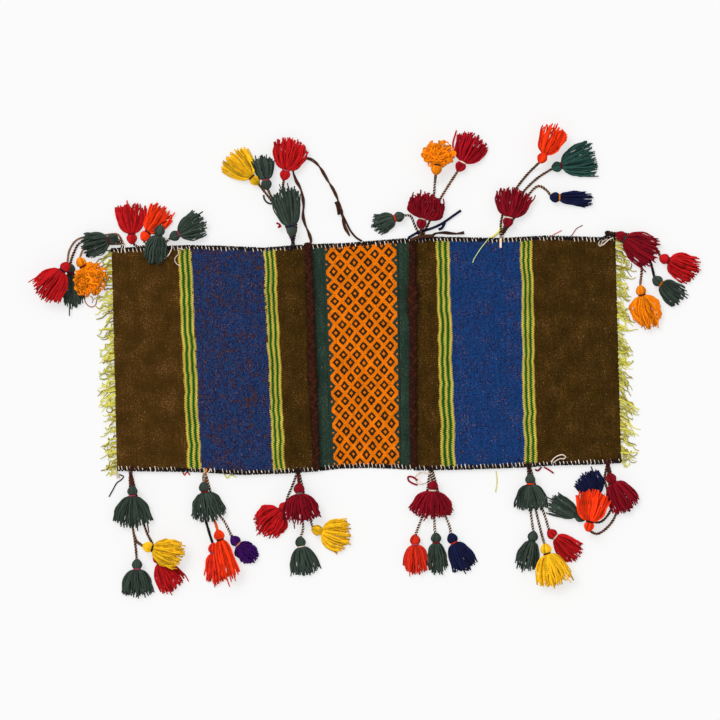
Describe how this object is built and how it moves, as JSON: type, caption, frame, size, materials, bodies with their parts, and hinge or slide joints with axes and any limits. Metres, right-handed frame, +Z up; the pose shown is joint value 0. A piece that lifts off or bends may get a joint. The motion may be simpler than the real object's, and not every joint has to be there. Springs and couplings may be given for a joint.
{
  "type": "flat-woven saddlebag",
  "caption": "Flat-woven wool saddlebag laid open: two folded pouches on a bridge cloth, with mouth braids, end fringes and tassel clusters along both sides.",
  "frame": {"origin": "middle of the woven cloth's underside, on the bridge between the two pouches", "axes": "+X along the bag toward the right pouch, +Y toward the edge with the closing cords, +Z up out of the pouch fronts"},
  "size_m": [1.4919, 1.0492, 0.0465],
  "materials": {
    "pouch_weave": "matt flat-woven wool in brown, striped and blue bands",
    "bridge_weave": "matt flat-woven wool, orange diamonds on dark green",
    "braid_wool": "thick dark braided wool",
    "overcast_wool": "black and cream overcast stitches",
    "fringe_wool": "curly yellow-green yarn",
    "cord_wool": "plied brown wool cord",
    "green_wool": "matt dark green yarn",
    "crimson_wool": "matt crimson yarn",
    "red_wool": "matt red yarn",
    "scarlet_wool": "matt scarlet yarn",
    "orange_wool": "matt orange yarn",
    "yellow_wool": "matt yellow yarn",
    "navy_wool": "matt navy yarn",
    "purple_wool": "matt purple yarn"
  },
  "bodies": {
    "bridge": {"bridge_cloth": "bridge_weave"},
    "left_pouch": {"left_pouch_cloth": "pouch_weave", "left_mouth_braid": "braid_wool", "left_seam_top": "overcast_wool", "left_seam_bottom": "overcast_wool", "left_fringe": "fringe_wool"},
    "right_pouch": {"right_pouch_cloth": "pouch_weave", "right_mouth_braid": "braid_wool", "right_seam_top": "overcast_wool", "right_seam_bottom": "overcast_wool", "right_fringe": "fringe_wool", "right_closing_cord": "cord_wool"},
    "top_1": {"top_1_upper_tassel": "green_wool", "top_1_tassel_orange": "orange_wool", "top_1_tassel_green": "green_wool", "top_1_tassel_red": "red_wool"},
    "top_2": {"top_2_upper_tassel": "green_wool", "top_2_tassel_red": "red_wool", "top_2_tassel_scarlet": "scarlet_wool", "top_2_tassel_inner": "green_wool"},
    "top_3": {"top_3_upper_tassel": "green_wool", "top_3_tassel_yellow": "yellow_wool", "top_3_tassel_green": "green_wool", "top_3_tassel_red": "red_wool", "left_closing_cord": "cord_wool"},
    "top_4": {"top_4_upper_tassel": "crimson_wool", "top_4_tassel_green": "green_wool", "top_4_tassel_orange": "orange_wool", "top_4_tassel_red": "red_wool"},
    "top_5": {"top_5_upper_tassel": "crimson_wool", "top_5_tassel_scarlet": "scarlet_wool", "top_5_tassel_green": "green_wool", "top_5_tassel_navy": "navy_wool"},
    "top_6": {"top_6_upper_tassel": "crimson_wool", "top_6_tassel_red": "red_wool", "top_6_tassel_green": "green_wool", "top_6_tassel_orange": "orange_wool"},
    "bottom_1": {"bottom_1_upper_tassel": "green_wool", "bottom_1_tassel_pair": "green_wool", "bottom_1_tassel_red": "red_wool"},
    "bottom_2": {"bottom_2_upper_tassel": "green_wool", "bottom_2_tassel_red": "red_wool", "bottom_2_tassel_scarlet": "scarlet_wool", "bottom_2_tassel_purple": "purple_wool"},
    "bottom_3": {"bottom_3_upper_tassel": "crimson_wool", "bottom_3_tassel_red": "red_wool", "bottom_3_tassel_green": "green_wool", "bottom_3_tassel_yellow": "yellow_wool"},
    "bottom_4": {"bottom_4_upper_tassel": "crimson_wool", "bottom_4_tassel_scarlet": "scarlet_wool", "bottom_4_tassel_green": "green_wool", "bottom_4_tassel_navy": "navy_wool"},
    "bottom_5": {"bottom_5_upper_tassel": "green_wool", "bottom_5_tassel_green": "green_wool", "bottom_5_tassel_yellow": "yellow_wool", "bottom_5_tassel_red": "red_wool"},
    "bottom_6": {"bottom_6_upper_tassel": "crimson_wool", "bottom_6_tassel_navy": "navy_wool", "bottom_6_tassel_green": "green_wool", "bottom_6_tassel_scarlet": "scarlet_wool"}
  },
  "joints": [
    {"name": "left_fold", "type": "hinge", "parent": "bridge", "child": "left_pouch", "pos_m": [-0.113, 0, 0.0015], "axis": [0, -1, 0], "range_deg": [-90, 90]},
    {"name": "right_fold", "type": "hinge", "parent": "bridge", "child": "right_pouch", "pos_m": [0.102, 0, 0.0015], "axis": [0, 1, 0], "range_deg": [-90, 90]},
    {"name": "top_1_swing", "type": "hinge", "parent": "left_pouch", "child": "top_1", "pos_m": [-0.5348, 0.2583, 0.006], "axis": [-0.4848, 0.8746, 0], "range_deg": [0, 75]},
    {"name": "top_2_swing", "type": "hinge", "parent": "left_pouch", "child": "top_2", "pos_m": [-0.4424, 0.2583, 0.006], "axis": [1, 0, 0], "range_deg": [-90, 0]},
    {"name": "top_3_swing", "type": "hinge", "parent": "left_pouch", "child": "top_3", "pos_m": [-0.15736, 0.2583, 0.006], "axis": [1, 0, 0], "range_deg": [-90, 75]},
    {"name": "top_4_swing", "type": "hinge", "parent": "right_pouch", "child": "top_4", "pos_m": [0.12768, 0.2583, 0.006], "axis": [1, 0, 0], "range_deg": [-90, 75]},
    {"name": "top_5_swing", "type": "hinge", "parent": "right_pouch", "child": "top_5", "pos_m": [0.30632, 0.2583, 0.006], "axis": [1, 0, 0], "range_deg": [-90, 75]},
    {"name": "top_6_swing", "type": "hinge", "parent": "right_pouch", "child": "top_6", "pos_m": [0.5404, 0.2583, 0.006], "axis": [-0.515, -0.8572, 0], "range_deg": [0, 75]},
    {"name": "bottom_1_swing", "type": "hinge", "parent": "left_pouch", "child": "bottom_1", "pos_m": [-0.52864, -0.2583, 0.006], "axis": [-1, 0, 0], "range_deg": [-90, 75]},
    {"name": "bottom_2_swing", "type": "hinge", "parent": "left_pouch", "child": "bottom_2", "pos_m": [-0.36456, -0.2583, 0.006], "axis": [-1, 0, 0], "range_deg": [-90, 75]},
    {"name": "bottom_3_swing", "type": "hinge", "parent": "left_pouch", "child": "bottom_3", "pos_m": [-0.15736, -0.2583, 0.006], "axis": [-1, 0, 0], "range_deg": [-90, 75]},
    {"name": "bottom_4_swing", "type": "hinge", "parent": "right_pouch", "child": "bottom_4", "pos_m": [0.13832, -0.2583, 0.006], "axis": [-1, 0, 0], "range_deg": [-90, 75]},
    {"name": "bottom_5_swing", "type": "hinge", "parent": "right_pouch", "child": "bottom_5", "pos_m": [0.35616, -0.2583, 0.006], "axis": [-1, 0, 0], "range_deg": [-90, 75]},
    {"name": "bottom_6_swing", "type": "hinge", "parent": "right_pouch", "child": "bottom_6", "pos_m": [0.53088, -0.2583, 0.006], "axis": [-1, 0, 0], "range_deg": [-90, 75]}
  ]
}
